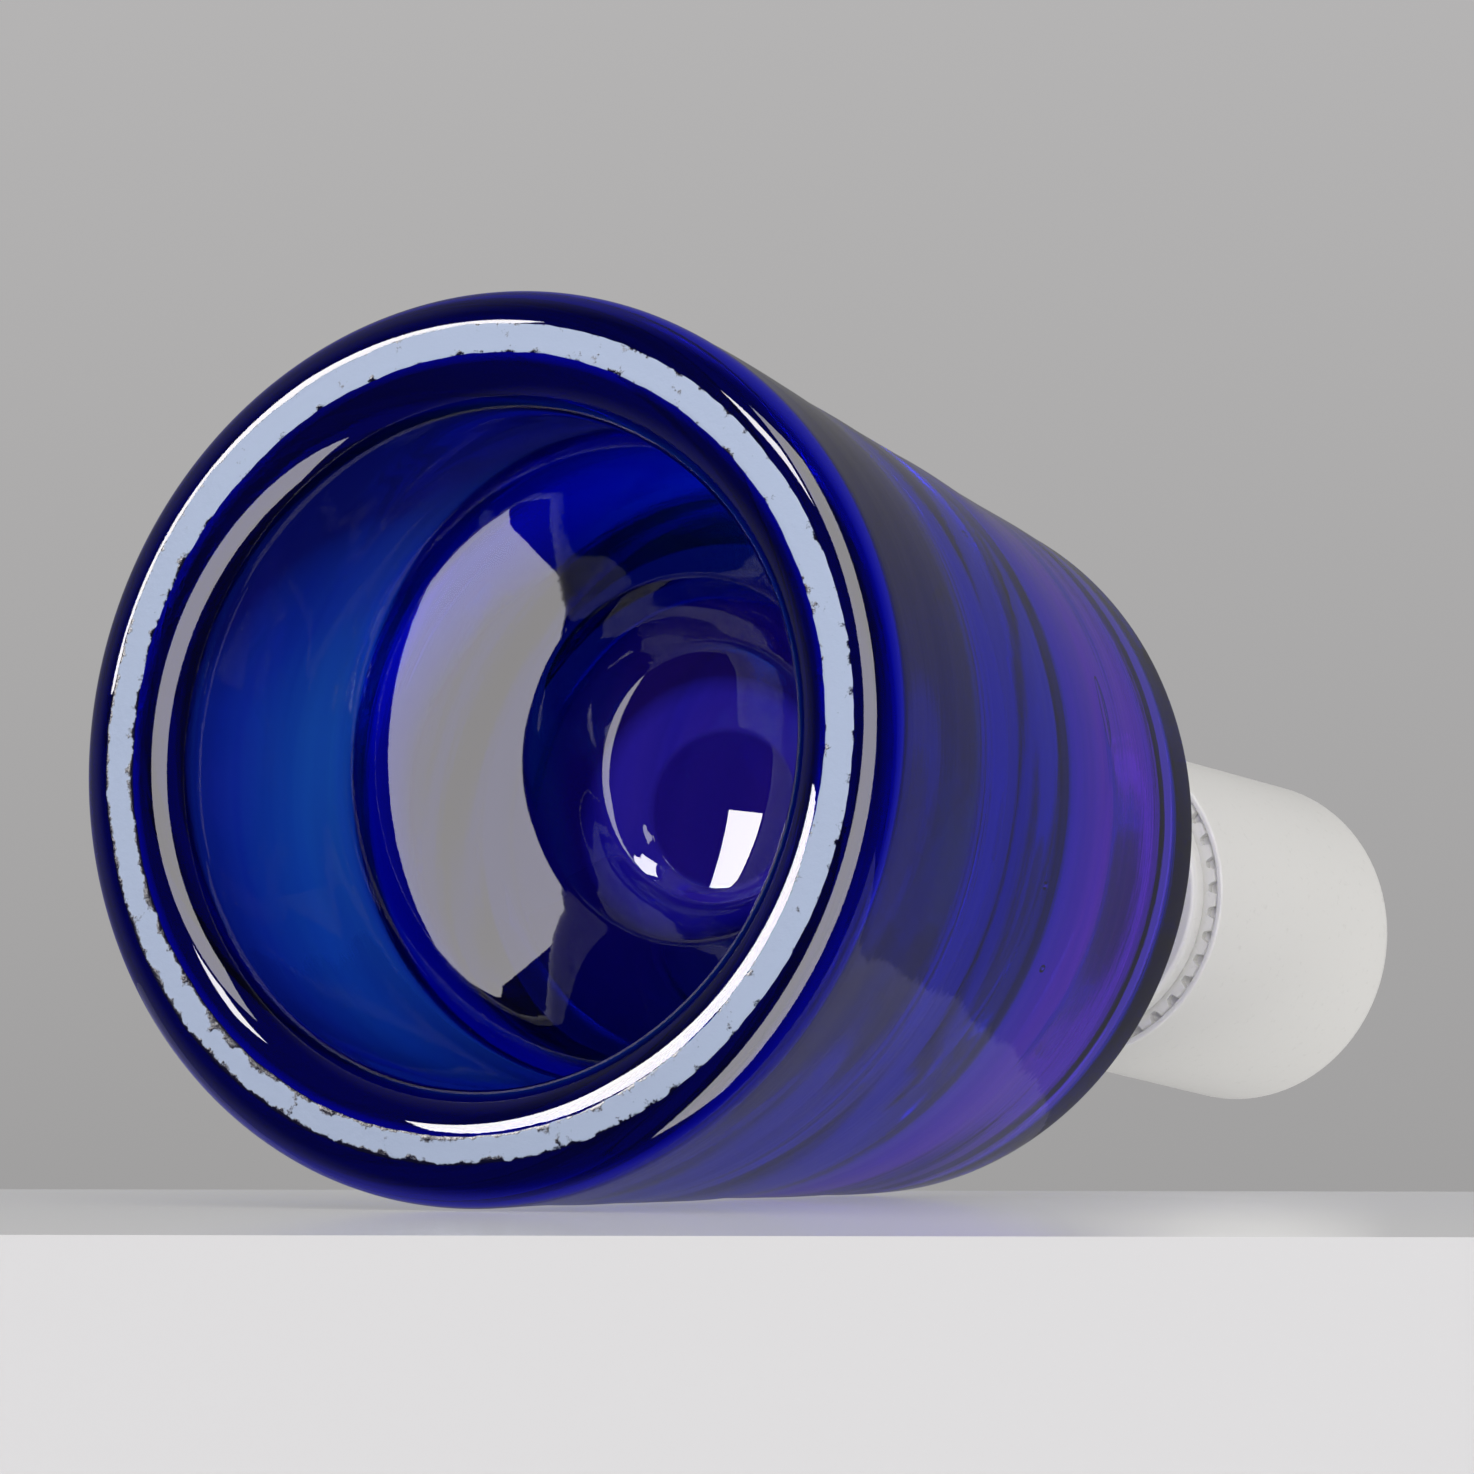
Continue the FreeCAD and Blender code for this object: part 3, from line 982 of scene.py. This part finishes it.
    def build_foot_face(self) -> bpy.types.Object:
        """Makes the thin ground face under the foot ring: a flat band between two uneven edges.

        The attribute "edge" is |2 s - 1|^3 at a share s of the way across, and grows towards the worn side.

        Returns:
            The face.
        """
        angle = np.linspace(0, TURN, self.face_steps, endpoint=False)
        inner = self.face_inner + self.ragged(angle, self.face_inner_seed, self.face_inner_wave)
        outer = self.face_outer + self.ragged(angle, self.face_outer_seed, self.face_outer_wave)
        under = np.array([0.04, 0.14, 0.3, 0.5, 0.7, 0.86, 0.96])
        share = np.concatenate([[0.0], under, [1.0], under[[-1, 0]]])[:, None]
        drop = np.concatenate([[0.0], np.full(len(under), self.face_depth), np.zeros(3)])[:, None]
        radius = inner + share * (outer - inner)
        height = np.broadcast_to(-drop, radius.shape)
        points = np.stack([radius * np.cos(angle), radius * np.sin(angle), height], -1)
        piece = grid_mesh("ground_foot_face", points, wrap_rows=True)
        worn_side = np.clip(np.cos(angle - math.radians(self.worn_turn)), 0, 1)
        wear = self.least_wear + (1 - self.least_wear) * worn_side
        store_values(piece, "edge", np.abs(2 * share - 1) ** 3 * wear)
        return piece

    def build_bubbles(self) -> bpy.types.Object:
        """Makes the bubbles as one mesh of ellipsoids, drawn out round the middle of the wall.

        Returns:
            The bubbles.
        """
        polar = np.linspace(0, math.pi, self.bubble_rows)[:, None]
        around = np.linspace(0, TURN, self.bubble_columns, endpoint=False)
        pieces = []
        for i, bubble in enumerate(self.bubbles):
            radius = self.wall_radius(bubble.height) - 0.5 * self.wall
            out = radius + self.bubble_half_depth * np.sin(polar) * np.cos(around)
            turn = math.radians(bubble.turn) + bubble.half_width * np.cos(polar) / radius
            up = bubble.height + bubble.half_height * np.sin(polar) * np.sin(around)
            points = np.stack([out * np.cos(turn), out * np.sin(turn), up], -1)
            pieces.append(grid_mesh(f"bubble_{i}", points))
        with bpy.context.temp_override(active_object=pieces[0], selected_editable_objects=pieces):
            bpy.ops.object.join()
        pieces[0].name = "glass_bubbles"
        return pieces[0]

    def build(self) -> None:
        """Builds and dresses the glass, its foot face and its bubbles."""
        dress(self.build_glass(), BlueGlass().make(), Body.BOTTLE, "blue_glass", "glass_bottle")
        dress(self.build_foot_face(), GroundGlass().make(), Body.BOTTLE, "blue_glass")
        dress(self.build_bubbles(), BubbleAir().make(), Body.BOTTLE, "blue_glass")


# The closure


@dataclass
class Closure:
    """The collar on the neck, the cap and its liner. Sizes are in millimetres."""

    neck_radius: float = 13.0
    collar_radius: float = 15.0
    collar_top: float = 186.0
    flange_radius: float = 16.9
    flange_bottom: float = 147.6
    flange_top: float = 150.0
    flange_root_round: float = 0.4
    soft_round: float = 0.8
    fine_round: float = 0.3
    outline_step: float = 3.0
    segments: int = 192

    # Cup of the cap
    cap_radius: float = 19.25
    cap_rim: float = 150.0
    cap_top: float = 196.4
    cap_round: float = 1.8
    shell_wall: float = 0.8
    shell_step: float = 2.0
    roof: float = 2.2

    # Ribbed sleeve inside the cap
    insert_rim: float = 150.4
    insert_radius: float = 17.2
    insert_bore: float = 16.0
    insert_clearance: float = 0.05
    bore_lead: float = 0.2
    bead_radius: float = 15.3
    bead_bottom: float = 188.4
    bead_step: float = 0.4
    rib_count: int = 38
    rib_steps: int = 16
    rib_width: float = 1.5
    rib_clearance: float = 0.02
    rib_flank_starts: float = 0.09
    rib_flank: float = 0.12
    rib_ends: tuple[tuple[float, float], ...] = ((0.6, 1.0), (0.25, 0.93), (0.0, 0.72))
    rib_inset: float = 0.15
    gap_depth: float = 1.0
    gap_floor: float = 0.1

    # Threads
    pitch: float = 5.0
    collar_thread_crest: float = 15.7
    collar_thread_start: float = 163.0
    insert_thread_crest: float = 15.3
    insert_thread_start: float = 160.5

    # Liner
    liner_radius: float = 15.6
    liner_bottom: float = 190.0
    liner_top: float = 191.9
    liner_round: float = 0.25

    def build_collar(self) -> bpy.types.Object:
        """Turns the collar with its rounded flange.

        Returns:
            The collar.
        """
        corners = [
            (self.neck_radius, self.flange_bottom, self.fine_round),
            (self.flange_radius, self.flange_bottom, self.soft_round),
            (self.flange_radius, self.flange_top, self.fine_round),
            (self.collar_radius, self.flange_top, self.flange_root_round),
            (self.collar_radius, self.collar_top, self.soft_round),
            (self.neck_radius, self.collar_top, self.fine_round),
        ]
        outline, _ = rounded_outline(corners, self.outline_step, True)
        return grid_mesh("neck_collar_skin", turned(outline, self.segments), wrap_rows=True)

    def build_shell(self) -> bpy.types.Object:
        """Turns the smooth cup of the cap.

        Returns:
            The cup.
        """
        bore = self.cap_radius - self.shell_wall
        ceiling = self.cap_top - self.roof
        corners = [
            (0.0, self.cap_top, 0.0),
            (self.cap_radius, self.cap_top, self.cap_round),
            (self.cap_radius, self.cap_rim, self.fine_round),
            (bore, self.cap_rim, self.fine_round),
            (bore, ceiling, self.fine_round),
            (0.0, ceiling, 0.0),
        ]
        outline, _ = rounded_outline(corners, self.shell_step, False)
        return grid_mesh("cap_shell_skin", turned(outline, self.segments))

    def rib_rise(self, steps: int) -> np.ndarray:
        """Works out how far the ribs stand out round the sleeve, as steps with eased flanks.

        Args:
            steps: steps round the axis.

        Returns:
            The rise at each step.
        """
        angle = np.linspace(0, TURN, steps, endpoint=False)
        across = (angle * self.rib_count / TURN + 0.5) % 1.0 - 0.5
        spacing = TURN * self.insert_radius / self.rib_count
        foot = 0.5 * self.rib_width / spacing + self.rib_flank_starts
        reach = self.cap_radius - self.shell_wall - self.insert_radius - self.rib_clearance
        return reach * eased(share_between(np.abs(across), foot, foot - self.rib_flank))

    def build_insert(self) -> bpy.types.Object:
        """Turns the sleeve of the cap, with ribs at its rim, floors in their gaps and a bead inside.

        Each row of its outline has a radius, a height, a share of the ribs and a share of the full rise.

        Returns:
            The sleeve.
        """
        steps = self.rib_count * self.rib_steps
        ceiling = self.cap_top - self.roof
        edge, wide, bore = self.insert_rim, self.insert_radius, self.insert_bore
        bead = (bore, self.bead_radius, self.bead_radius, bore)
        rows = [
            (0.0, ceiling - self.insert_clearance, 0.0, 0.0),
            (wide, ceiling - self.insert_clearance, 0.0, 1.0),
            (wide, edge + self.gap_depth + self.gap_floor, 0.0, 1.0),
            (wide, edge + self.gap_depth, 1.0, 0.0),
            *((wide, edge + up, share, 0.0) for up, share in self.rib_ends),
            (wide - self.rib_inset, edge, 0.0, 0.0),
            (bore + self.bore_lead, edge, 0.0, 0.0),
            (bore, edge + self.bore_lead, 0.0, 0.0),
            *((radius, self.bead_bottom + i * self.bead_step, 0.0, 0.0) for i, radius in enumerate(bead)),
            (bore, ceiling - self.roof, 0.0, 0.0),
            (0.0, ceiling - self.roof, 0.0, 0.0),
        ]
        table = np.array(rows)
        rise = self.rib_rise(steps)
        shift = table[:, 2:3] * rise + table[:, 3:] * rise.max()
        return grid_mesh("cap_insert_skin", turned(table[:, :2], steps, shift), smooth_angle=35.0)

    def build_liner(self) -> bpy.types.Object:
        """Turns the liner disc.

        Returns:
            The liner.
        """
        corners = [
            (0.0, self.liner_bottom, 0.0),
            (self.liner_radius, self.liner_bottom, self.liner_round),
            (self.liner_radius, self.liner_top, self.liner_round),
            (0.0, self.liner_top, 0.0),
        ]
        outline, _ = rounded_outline(corners, self.outline_step, False)
        return grid_mesh("liner_disc", turned(outline, self.segments))

    def build(self) -> None:
        """Builds and dresses every piece of the closure."""
        white = WHITE_PLASTIC.make()
        outer = ThreadRidge(
            self.collar_radius, self.collar_thread_crest, self.collar_thread_start, self.pitch
        )
        inner = ThreadRidge(
            self.insert_bore, self.insert_thread_crest, self.insert_thread_start, self.pitch
        )
        dress(self.build_collar(), white, Body.BOTTLE, "white_plastic", "neck_collar")
        dress(outer.build("collar_thread"), white, Body.BOTTLE, "white_plastic")
        dress(self.build_shell(), white, Body.CAP, "white_plastic", "cap_shell")
        dress(self.build_insert(), white, Body.CAP, "white_plastic", "cap_insert")
        dress(inner.build("insert_thread"), white, Body.CAP, "white_plastic")
        dress(self.build_liner(), LINER_RUBBER.make(), Body.LINER, "liner_rubber", "seal_disc")


# The studio


@dataclass(frozen=True)
class Softbox:
    """A soft lamp, placed from the bottle in the camera's own directions, in metres."""

    name: str
    right: float
    up: float
    back: float
    width: float
    height: float
    radiance: float
    shows: Shows


@dataclass
class Studio:
    """Camera, lamps, pale slab and floor. The camera looks at the foot of the bottle, as if it lay down.

    The fit of the camera counts in radii of the foot: unit is that radius in metres, reach is the camera's
    distance and scale_px the pixels to one radius. Other sizes are in metres.
    """

    turn: float = 0.489
    tilt: float = 0.124
    scale_px: float = 463.4
    foot_px: tuple[float, float] = (476.1, 743.6)
    reach: float = 40.0
    unit: float = 0.052
    clip_end: float = 100.0
    bounces: int = 64

    # Lamps and surroundings
    lamp_colour: Tint = (1.0, 0.97, 0.965)
    lamp_aim: float = 0.07
    lamps: tuple[Softbox, ...] = (
        Softbox("bank", 0.41, 0.5, 2.6, 2.05, 5.2, 1.6, Shows.MATT),
        Softbox("bank_reflected", 0.0, 0.0, 2.6, 1.7, 9.0, 6.2, Shows.REFLECTED),
        Softbox("left_box", -1.5, 0.62, 0.7, 0.45, 0.5, 22.0, Shows.REFLECTED),
        Softbox("high_box", -0.8, 1.26, 1.35, 0.4, 0.4, 20.0, Shows.REFLECTED),
    )
    room_colour: Colour = (1.0, 0.985, 0.985, 1.0)
    room_near: float = 0.03
    room_far: float = 0.18
    room_turns: tuple[float, float] = (-0.2, 0.3)
    room_matt: float = 0.7
    through_glass: float = 0.39
    backdrop: tuple[float, float] = (0.46, 0.345)
    backdrop_span: tuple[float, float] = (-0.04, 0.03)

    # Slab along the bottle's side, in radii of the foot
    slab_front: float = -2.3
    slab_rear: float = 2.05
    slab_half_width: float = 14.0

    # The rest of the stage
    wall_taper: float = 0.121
    foot_round: float = 0.0045
    slab_clearance: float = 0.0002
    slab_depth: float = 0.5
    shine_lift: float = 0.0001
    shine_left: float = -0.15
    shine_tip: float = 0.228
    shine_length: float = 0.204
    floor_half: float = 4.0
    floor_drop: float = 0.0004

    def axes(self) -> tuple[Vector, Vector, Vector]:
        """Works out the camera's directions from the way the bottle's axis points in the picture.

        Returns:
            The camera's right, down and forward directions in the bottle's frame.
        """
        level = math.cos(self.tilt)
        axis = Vector((math.sin(self.turn) * level, math.sin(self.tilt), math.cos(self.turn) * level))
        side = Vector((axis.z, 0.0, -axis.x)).normalized()
        right, down, forward = (Vector(row) for row in zip(side, axis.cross(side), axis))
        return right, down, forward

    def build_camera(self) -> None:
        """Places the camera so that the foot's centre falls where it does in the photograph."""
        right, down, forward = self.axes()
        shift = [(pixel - IMAGE_SIDE / 2) / self.scale_px for pixel in self.foot_px]
        place = -(right * shift[0] + down * shift[1] + forward * self.reach) * self.unit
        data = bpy.data.cameras.new("camera")
        data.sensor_width = SENSOR
        data.lens = self.scale_px * self.reach * SENSOR / IMAGE_SIDE
        data.clip_end = self.clip_end
        camera = bpy.data.objects.new("camera", data)
        turn = Matrix((right, -down, -forward)).transposed().to_4x4()
        camera.matrix_world = Matrix.Translation(place) @ turn
        bpy.context.scene.collection.objects.link(camera)
        bpy.context.scene.camera = camera

    def build_lamps(self) -> None:
        """Places the soft lamps upright, each turned to the bottle."""
        right, down, forward = self.axes()
        target = Vector((0.0, 0.0, self.lamp_aim))
        for lamp in self.lamps:
            data = bpy.data.lights.new(lamp.name, "AREA")
            data.shape = "RECTANGLE"
            data.size, data.size_y = lamp.width, lamp.height
            data.color = self.lamp_colour
            data.energy = lamp.radiance * math.pi * lamp.width * lamp.height
            thing = bpy.data.objects.new(lamp.name, data)
            away = right * lamp.right - down * lamp.up - forward * lamp.back
            back = (away - away.dot(down) * down).normalized()
            turn = Matrix(((-down).cross(back), -down, back)).transposed().to_4x4()
            thing.matrix_world = Matrix.Translation(target + away) @ turn
            thing.visible_camera = False
            thing.visible_diffuse = lamp.shows is Shows.MATT
            thing.visible_glossy = lamp.shows is Shows.REFLECTED
            thing.visible_transmission = False
            bpy.context.scene.collection.objects.link(thing)

    def build_world(self) -> None:
        """Makes the surroundings.

        The camera sees a grey backdrop that darkens downwards. Clear pieces show an even grey, matt ones get
        a soft light, and reflections show a room that is dim on the camera's side and paler on the far side.
        """
        world = bpy.data.worlds.new("studio")
        world.use_nodes = True
        tree = world.node_tree
        back = tree.nodes["Background"]
        back.inputs["Color"].default_value = self.room_colour
        _, down, forward = self.axes()
        path = tree.nodes.new("ShaderNodeLightPath")
        place = tree.nodes.new("ShaderNodeTexCoord")
        ahead = add_node(tree, "ShaderNodeVectorMath", operation="DOT_PRODUCT")
        below = add_node(tree, "ShaderNodeVectorMath", operation="DOT_PRODUCT")
        ahead.inputs[1].default_value = forward
        below.inputs[1].default_value = down
        room = add_node(tree, "ShaderNodeMapRange", To_Min=self.room_near, To_Max=self.room_far)
        room.inputs["From Min"].default_value, room.inputs["From Max"].default_value = self.room_turns
        fall = add_node(tree, "ShaderNodeMapRange", To_Min=self.backdrop[0], To_Max=self.backdrop[1])
        fall.inputs["From Min"].default_value, fall.inputs["From Max"].default_value = self.backdrop_span
        matt = add_sum(tree, self.room_matt, 0.0)
        reflected = add_node(tree, "ShaderNodeMath", operation="MAXIMUM")
        through = add_node(tree, "ShaderNodeMix", data_type="FLOAT")
        through.inputs[3].default_value = self.through_glass
        level = add_node(tree, "ShaderNodeMix", data_type="FLOAT")
        link = tree.links.new
        link(place.outputs["Generated"], ahead.inputs[0])
        link(place.outputs["Generated"], below.inputs[0])
        link(ahead.outputs["Value"], room.inputs["Value"])
        link(below.outputs["Value"], fall.inputs["Value"])
        link(path.outputs["Is Diffuse Ray"], matt.inputs[0])
        link(room.outputs["Result"], reflected.inputs[0])
        link(matt.outputs[0], reflected.inputs[1])
        link(path.outputs["Is Transmission Ray"], through.inputs["Factor"])
        link(reflected.outputs[0], through.inputs[2])
        link(path.outputs["Is Camera Ray"], level.inputs["Factor"])
        link(through.outputs[0], level.inputs[2])
        link(fall.outputs["Result"], level.inputs[3])
        link(level.outputs[0], back.inputs["Strength"])
        bpy.context.scene.world = world

    def flat(self, name: str, corners: list[Vector], facing: Vector, finish: StagePale) -> bpy.types.Object:
        """Makes a flat four-sided stage piece.

        Args:
            name: its name.
            corners: its corners in order.
            facing: the side that shows.
            finish: its finish.

        Returns:
            The stage piece.
        """
        normal = (corners[1] - corners[0]).cross(corners[2] - corners[0])
        order = [0, 1, 2, 3] if normal.dot(facing) > 0 else [3, 2, 1, 0]
        mesh = bpy.data.meshes.new(name)
        mesh.from_pydata([tuple(corner) for corner in corners], [], [order])
        thing = bpy.data.objects.new(name, mesh)
        thing.data.materials.append(finish.make())
        bpy.context.scene.collection.objects.link(thing)
        return thing

    def build_slab(self) -> None:
        """Lays the pale slab along the bottle's side.

        Its top shows to the camera but not in reflections, where a dimmer triangle takes its place.
        """
        right, _, forward = self.axes()
        lean = math.atan(self.wall_taper)
        inward = Vector((0.0, -math.cos(lean), -math.sin(lean)))
        wall_line = Vector((0.0, -math.sin(lean), math.cos(lean)))
        heel = self.unit + self.wall_taper * self.foot_round
        under = -inward * (heel * math.cos(lean) + self.slab_clearance)
        along = (forward - inward * forward.dot(inward)).normalized()
        across = (right - inward * right.dot(inward)).normalized()
        front, rear = (under + along * place * self.unit for place in (self.slab_front, self.slab_rear))
        half = across * self.slab_half_width * self.unit
        drop = -inward * self.slab_depth
        near_left, near_right = front - half, front + half
        top = self.flat("slab_top", [near_left, near_right, rear + half, rear - half], inward, SLAB_TOP)
        top.visible_glossy = False
        above = under + inward * self.shine_lift
        left = above + Vector((self.shine_left, 0.0, 0.0))
        tip = above + Vector((self.shine_tip, 0.0, 0.0))
        deep = left + wall_line * self.shine_length
        shine = self.flat("slab_shine", [left, tip, (tip + deep) / 2, deep], inward, SLAB_SHINE)
        shine.visible_camera = False
        front_corners = [near_left, near_right, near_right + drop, near_left + drop]
        self.flat("slab_front", front_corners, -along, SLAB_FRONT)

    def build_floor(self) -> None:
        """Lays a floor under the foot that only the camera sees, and only from above."""
        signs = ((-1, -1), (1, -1), (1, 1), (-1, 1))
        corners = [Vector((x * self.floor_half, y * self.floor_half, -self.floor_drop)) for x, y in signs]
        floor = self.flat("floor", corners, Vector((0.0, 0.0, 1.0)), FLOOR)
        floor.visible_diffuse = False
        floor.visible_glossy = False
        floor.visible_transmission = False
        floor.visible_shadow = False

    def build(self) -> None:
        """Sets up the studio, with enough light bounces for the many reflections inside thick glass."""
        self.build_camera()
        self.build_lamps()
        self.build_world()
        self.build_slab()
        self.build_floor()
        scene = bpy.context.scene
        scene.view_settings.view_transform = "Standard"
        scene.cycles.max_bounces = self.bounces
        scene.cycles.glossy_bounces = self.bounces
        scene.cycles.transmission_bounces = self.bounces


def main() -> None:
    """Builds the bottle, its closure and the studio in order."""
    logging.basicConfig(level=logging.INFO)
    GlassBottle().build()
    Closure().build()
    Studio().build()


if __name__ == "__main__":
    main()
